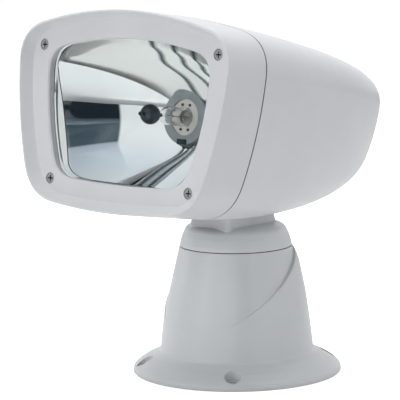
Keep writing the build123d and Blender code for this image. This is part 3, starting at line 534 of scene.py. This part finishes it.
def radii(o):
    """Distance from the lamp axis to an outline, for every angle of the mirror's rings."""
    polar = sorted((atan2(h - LAMP_H, x), hypot(x, h - LAMP_H)) for x, h in outline_points(o))
    polar = [(polar[-1][0] - 2 * pi, polar[-1][1])] + polar + [(polar[0][0] + 2 * pi, polar[0][1])]
    angles = [a for a, r in polar]
    found = []
    for n in range(STEPS_ROUND):
        angle = angle_at(n)
        k = max(1, bisect_left(angles, angle))
        (a0, r0), (a1, r1) = polar[k - 1], polar[k]
        found.append(r0 + (r1 - r0) * (angle - a0) / (a1 - a0))
    return found


def bowl_radius(d):
    return sqrt(4 * BOWL_FOCUS * (MIRROR_BACK - d))


def bowl_depth(r):
    return MIRROR_BACK - r * r / (4 * BOWL_FOCUS)


def mirror_walls(d):
    """Outline of the arched roof and the walls at the depth d."""
    roof = LAMP_H + sqrt(4 * ROOF_FOCUS * (MIRROR_BACK - d))
    return (WINDOW[0] + 1, roof - ROOF_ARCH, ROOF_ARCH, WINDOW[3] + 1.5, WINDOW[4] - 1, 2.5, 5.0,
            2.0, 2.0, 12.0, 12.0)


def front_blend(d):
    """How far the opening's outline has turned into the walls' at the depth d, from 0 to 1."""
    return min(1, (d - PLATE_D[0]) / FRONT_BLEND)


def mirror_back(d):
    """Radii of the mirror's back at the depth d."""
    bowl = bowl_radius(d - SHEET)
    front = radii(grow(WINDOW, WALL_MARGIN + SHEET))
    walls = radii(grow(mirror_walls(max(PLATE_D[0] + FRONT_BLEND, d - BACK_SHIFT * SHEET)), SHEET))
    blend = front_blend(d)
    return [max(COLLAR_HOLE, min(bowl, f + (w - f) * blend)) for f, w in zip(front, walls)]


def wall_table():
    """Radii of the walls for every angle, one row for each step of depth."""
    front = radii(grow(WINDOW, OPENING_MARGIN))
    table = []
    for k in range(DEPTHS):
        d = PLATE_D[0] + DEPTH_STEP * k
        blend = front_blend(d)
        walls = radii(mirror_walls(max(PLATE_D[0] + FRONT_BLEND, d)))
        table.append([f + (w - f) * blend for f, w in zip(front, walls)])
    return table


def mirror_profiles():
    """For every angle, the rows of (radius, depth) from the opening along the wall and down the bowl."""
    table = wall_table()
    end = bowl_depth(COLLAR_HOLE)
    profiles = []
    folded = []
    for n in range(STEPS_ROUND):
        angle = angle_at(n)

        def wall(d):
            k = min(DEPTHS - 2, int((d - PLATE_D[0]) / DEPTH_STEP))
            t = (d - PLATE_D[0]) / DEPTH_STEP - k
            return table[k][n] + (table[k + 1][n] - table[k][n]) * t

        low, high = PLATE_D[0], end
        for halving in range(HALVINGS):
            middle = (low + high) / 2
            if COLLAR_HOLE < wall(middle) < bowl_radius(middle):
                low = middle
            else:
                high = middle
        meets_bowl = wall(high) > COLLAR_HOLE
        last = max(PLATE_D[0] + 0.05, low - (FOLD_HALF if meets_bowl else 0))
        rows = []
        for step in range(STEPS_WALL + 1):
            d = PLATE_D[0] + (last - PLATE_D[0]) * step / STEPS_WALL
            r = min(wall(d), bowl_radius(d))
            if sin(angle) > ROOF_FROM:
                r -= step_height(r * cos(angle), d, ROOF_STEPS) * min(1, (d - PLATE_D[0]) / STEP_START)
            rows.append((max(COLLAR_HOLE, r), d))
        start = max(COLLAR_HOLE, bowl_radius(low) - FOLD_HALF)
        for step in range(STEPS_BOWL + 1):
            r = start + (COLLAR_HOLE - start) * step / STEPS_BOWL
            if meets_bowl:
                d = bowl_depth(r)
                fade = (BOWL_STEPS_TOP - LAMP_H - r * sin(angle)) / BOWL_STEPS_FADE
                r -= step_height(r * cos(angle), d, BOWL_STEPS) * max(0, min(1, fade))
                rows.append((max(COLLAR_HOLE, r), d))
            else:
                rows.append((COLLAR_HOLE, low + (end - low) * step / STEPS_BOWL))
        profiles.append(rows)
        folded.append(meets_bowl and low - PLATE_D[0] > 1)
    return profiles, folded


def head_polar(n, r, d):
    angle = angle_at(n)
    return in_head(r * cos(angle), LAMP_H + r * sin(angle), d)


def ring_points(distances, d):
    return [head_polar(n, r, d) for n, r in enumerate(distances)]


def lug_outline(x, h):
    """Round ear for a screw, which reaches back into the plate."""
    ends = [pi * t / (2 * STEPS_LUG) for t in range(-STEPS_LUG, STEPS_LUG + 1)]
    outer = [(x + LUG_RADIUS * cos(a), h + LUG_RADIUS * sin(a)) for a in ends]
    if x < 0:
        outer = [(2 * x - px, ph) for px, ph in outer]
    return outer + [(LUG_REACH * x, h + LUG_RADIUS), (LUG_REACH * x, h - LUG_RADIUS)]


def add_mirror():
    profiles, folded = mirror_profiles()
    rings = []
    for k in range(STEPS_WALL + STEPS_BOWL + 2):
        rings.append([head_polar(n, *profiles[n][k]) for n in range(STEPS_ROUND)])
    back = bowl_depth(COLLAR_HOLE) + SHEET
    for n in range(STEPS_BACK + 1):
        d = back + (PLATE_D[1] - back) * n / STEPS_BACK
        rings.append(ring_points(mirror_back(d), d))
    plate = radii(grow(WINDOW, PLATE_MARGIN))
    rings.append(ring_points(plate, PLATE_D[1]))
    rings.append(ring_points(plate, PLATE_D[0]))
    points = [p for ring in rings for p in ring]
    faces = []
    skins = []
    for k in range(len(rings)):
        a = k * STEPS_ROUND
        b = (k + 1) % len(rings) * STEPS_ROUND
        for n in range(STEPS_ROUND):
            m = (n + 1) % STEPS_ROUND
            faces.append((a + n, a + m, b + m, b + n))
            if k == len(rings) - 1:
                skins.append(SKIN_RIM)
            elif k == STEPS_WALL and folded[n] and folded[m]:
                skins.append(SKIN_FOLD)
            else:
                skins.append(SKIN_WALL if k <= STEPS_WALL else SKIN_BOWL)
    for x, h in LUGS:
        start = len(points)
        outer = lug_outline(x, h)
        for d in (PLATE_D[0] + LUG_SINK, PLATE_D[1] - LUG_SINK):
            points += [in_head(px, ph, d) for px, ph in outer]
        count = len(outer)
        faces += [tuple(start + t for t in range(count)),
                  tuple(start + count + t for t in reversed(range(count)))]
        faces += [(start + t, start + count + t, start + count + (t + 1) % count, start + (t + 1) % count)
                  for t in range(count)]
    mesh = bpy.data.meshes.new("mirror_bowl")
    mesh.from_pydata(points, [], faces)
    shape = bmesh.new()
    shape.from_mesh(mesh)
    bmesh.ops.recalc_face_normals(shape, faces=shape.faces)
    shape.to_mesh(mesh)
    shape.free()
    mesh.shade_smooth()
    mesh.set_sharp_from_angle(angle=CREASE)
    for material in SKINS:
        mesh.materials.append(material)
    for face, skin in zip(mesh.polygons, skins):
        face.material_index = skin
    for edge in mesh.edges:
        row = edge.vertices[0] // STEPS_ROUND
        if row == edge.vertices[1] // STEPS_ROUND and row in (STEPS_WALL, STEPS_WALL + 1):
            edge.use_edge_sharp = True
    bowl = bpy.data.objects.new("mirror_bowl", mesh)
    bpy.context.collection.objects.link(bowl)
    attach(bowl, "head")
    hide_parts("reflector")
    return bowl


mirror_bowl = add_mirror()
face_inward(mirror_rim, in_head(0, LAMP_H, PLATE_D[0]), 0.8)
# Painted dark reflections in the mirrors' colours along the steps
paint_step_reflections(mirror_wall, mirror_bowl, in_head(0, 0, 0), ROOF_STEPS)
paint_step_reflections(mirror, mirror_bowl, in_head(0, 0, 0), BOWL_STEPS, in_head(0, BOWL_STEPS_TOP, 0))


# Studio
WORLD_LIGHT = 0.33
FLOOR_GLOW = 0.72
MIRRORED_GLOW = 0.04
FLOOR_HALF = 6.0
FLOOR_DROP = 0.0002
WHITE = (1, 1, 1)
NONE = (0, 0, 0)

# Background that reflections see, in degrees of azimuth and height: the dark end wall begins and ends in blends,
# and its near edge leans over above a height. A dark patch, by centre and half size, keeps the front glass clear.
END_WALL_BEGINS = (39.0, 39.8)
END_WALL_ENDS = (64, 67)
END_WALL_LEANS_FROM = 36.0
END_WALL_LEAN = 0.026
GLASS_PATCH_AZIMUTH = (-43.0, 20.0)
GLASS_PATCH_HEIGHT = (8.0, 14.0)
GLASS_PATCH_COLOUR = (0.03, 0.035, 0.04, 1)
END_WALL = [
    (-10, (0.010, 0.016, 0.024)), (13.3, (0.010, 0.016, 0.024)), (14.3, (0.064, 0.096, 0.124)),
    (38, (0.072, 0.104, 0.132)), (40, (0.50, 0.56, 0.64)), (60, (0.70, 0.76, 0.84)), (80, (0.85, 0.90, 0.95))]
OPEN_SIDE = [
    (-10, (0.90, 0.92, 0.95)), (30, (1.0, 1.0, 1.0)), (60, (0.80, 0.86, 0.92)), (85, (0.85, 0.90, 0.95))]


def add_floor():
    half = FLOOR_HALF
    corners = [(-half, -half, 0), (half, -half, 0), (half, half, 0), (-half, half, 0)]
    mesh = bpy.data.meshes.new("floor")
    mesh.from_pydata(corners, [], [(0, 1, 2, 3)])
    floor = bpy.data.objects.new("floor", mesh)
    floor.location.z = cad_low.z - FLOOR_DROP
    bpy.context.collection.objects.link(floor)
    material, tree, shader = new_material("floor_paper")
    drift = noise(tree, 3.0)
    vary_colour(tree, shader, drift, (0.90, 0.90, 0.90), (0.92, 0.92, 0.92))
    vary_roughness(tree, shader, drift, 0.85, 0.95)
    shader.inputs["Specular IOR Level"].default_value = 0.0
    rays = tree.nodes.new("ShaderNodeLightPath")
    mirrored = compute(tree, "MAXIMUM", rays.outputs["Is Glossy Ray"], rays.outputs["Is Transmission Ray"])
    shown = compute(tree, "MULTIPLY_ADD", mirrored, MIRRORED_GLOW / FLOOR_GLOW, rays.outputs["Is Camera Ray"])
    shader.inputs["Emission Color"].default_value = (*WHITE, 1)
    tree.links.new(compute(tree, "MULTIPLY", shown, FLOOR_GLOW), shader.inputs["Emission Strength"])
    mesh.materials.append(material)


def add_world():
    """Even light for matt surfaces, white for the camera, and a studio with a dark end wall for reflections."""
    world = bpy.data.worlds.new("studio")
    bpy.context.scene.world = world
    world.use_nodes = True
    tree = world.node_tree
    place = tree.nodes.new("ShaderNodeTexCoord")
    split = tree.nodes.new("ShaderNodeSeparateXYZ")
    tree.links.new(place.outputs["Generated"], split.inputs["Vector"])

    def ramp(value, low, high, stops):
        share = map_range(tree, value, (low, high))
        return colour_ramp(tree, share, [((at - low) / (high - low), colour) for at, colour in stops])

    def within(value, centre, half):
        return compute(tree, "LESS_THAN", compute(tree, "ABSOLUTE", compute(tree, "ADD", value, -centre)), half)

    def background(node, colour, strength):
        feed(tree, node.inputs["Color"], colour)
        node.inputs["Strength"].default_value = strength
        return node.outputs["Background"]

    def mix_shader(amount, first, second):
        node = tree.nodes.new("ShaderNodeMixShader")
        for socket, value in zip(node.inputs, (amount, first, second)):
            tree.links.new(value, socket)
        return node.outputs["Shader"]

    ahead = compute(tree, "MULTIPLY", split.outputs["Y"], -1.0)
    azimuth = compute(tree, "MULTIPLY", compute(tree, "ARCTAN2", split.outputs["X"], ahead), TO_DEGREES)
    height = compute(tree, "MULTIPLY", compute(tree, "ARCSINE", split.outputs["Z"]), TO_DEGREES)
    above = compute(tree, "MAXIMUM", compute(tree, "SUBTRACT", height, END_WALL_LEANS_FROM), 0.0)
    lean = compute(tree, "MULTIPLY", compute(tree, "MULTIPLY", above, above), END_WALL_LEAN)
    swung = compute(tree, "ADD", azimuth, lean)
    begins, begun = END_WALL_BEGINS
    ends, ended = END_WALL_ENDS
    near_edge = ramp(swung, -180, 260, [(-180, NONE), (begins, NONE), (begun, WHITE)])
    far_edge = ramp(azimuth, -180, 180, [(-180, WHITE), (ends, WHITE), (ended, NONE)])
    on_end_wall = compute(tree, "MULTIPLY", near_edge, far_edge)
    facing_glass = compute(tree, "MULTIPLY", within(azimuth, *GLASS_PATCH_AZIMUTH),
                           within(height, *GLASS_PATCH_HEIGHT))
    walls = mix_colour(tree, on_end_wall, ramp(height, -10, 90, OPEN_SIDE), ramp(height, -10, 90, END_WALL))
    seen = mix_colour(tree, facing_glass, walls, GLASS_PATCH_COLOUR)
    even = background(tree.nodes["Background"], (0.97, 0.985, 1.0, 1), WORLD_LIGHT)
    studio = background(tree.nodes.new("ShaderNodeBackground"), seen, 1.0)
    white = background(tree.nodes.new("ShaderNodeBackground"), (*WHITE, 1), 1.0)
    rays = tree.nodes.new("ShaderNodeLightPath")
    mirrored = compute(tree, "MAXIMUM", rays.outputs["Is Glossy Ray"], rays.outputs["Is Transmission Ray"])
    shown = mix_shader(rays.outputs["Is Camera Ray"], mix_shader(mirrored, even, studio), white)
    tree.links.new(shown, tree.nodes["World Output"].inputs["Surface"])


# Lamps: place in metres, size of the light, watts
LAMPS_AIM = Vector((0, 0, 0.18))
LAMPS = {
    "top_light": ((-0.1, 0.1, 1.5), (1.4, 1.4), 18.5),
    "front_light": ((-0.7, -1.6, 0.7), (1.0, 1.0), 7.5),
    "left_light": ((-1.5, -0.5, 0.7), (0.8, 1.2), 3.0),
    "fill_light": ((0.6, -1.5, 0.4), (1.0, 0.6), 3.0),
    "back_light": ((1.1, 1.0, 0.5), (0.6, 1.2), 3.5),
}


def add_lamp(name, place, size, power):
    data = bpy.data.lights.new(name, "AREA")
    data.shape = "RECTANGLE"
    data.size, data.size_y = size
    data.energy = power
    lamp = bpy.data.objects.new(name, data)
    lamp.location = place
    lamp.rotation_euler = (LAMPS_AIM - Vector(place)).to_track_quat("-Z", "Y").to_euler()
    lamp.visible_glossy = False
    lamp.visible_transmission = False
    bpy.context.collection.objects.link(lamp)


add_floor()
add_world()
for name, (place, size, power) in LAMPS.items():
    add_lamp(name, place, size, power)
for name in ("lens_glass", "bulb_glass"):
    nodes[name].visible_shadow = False
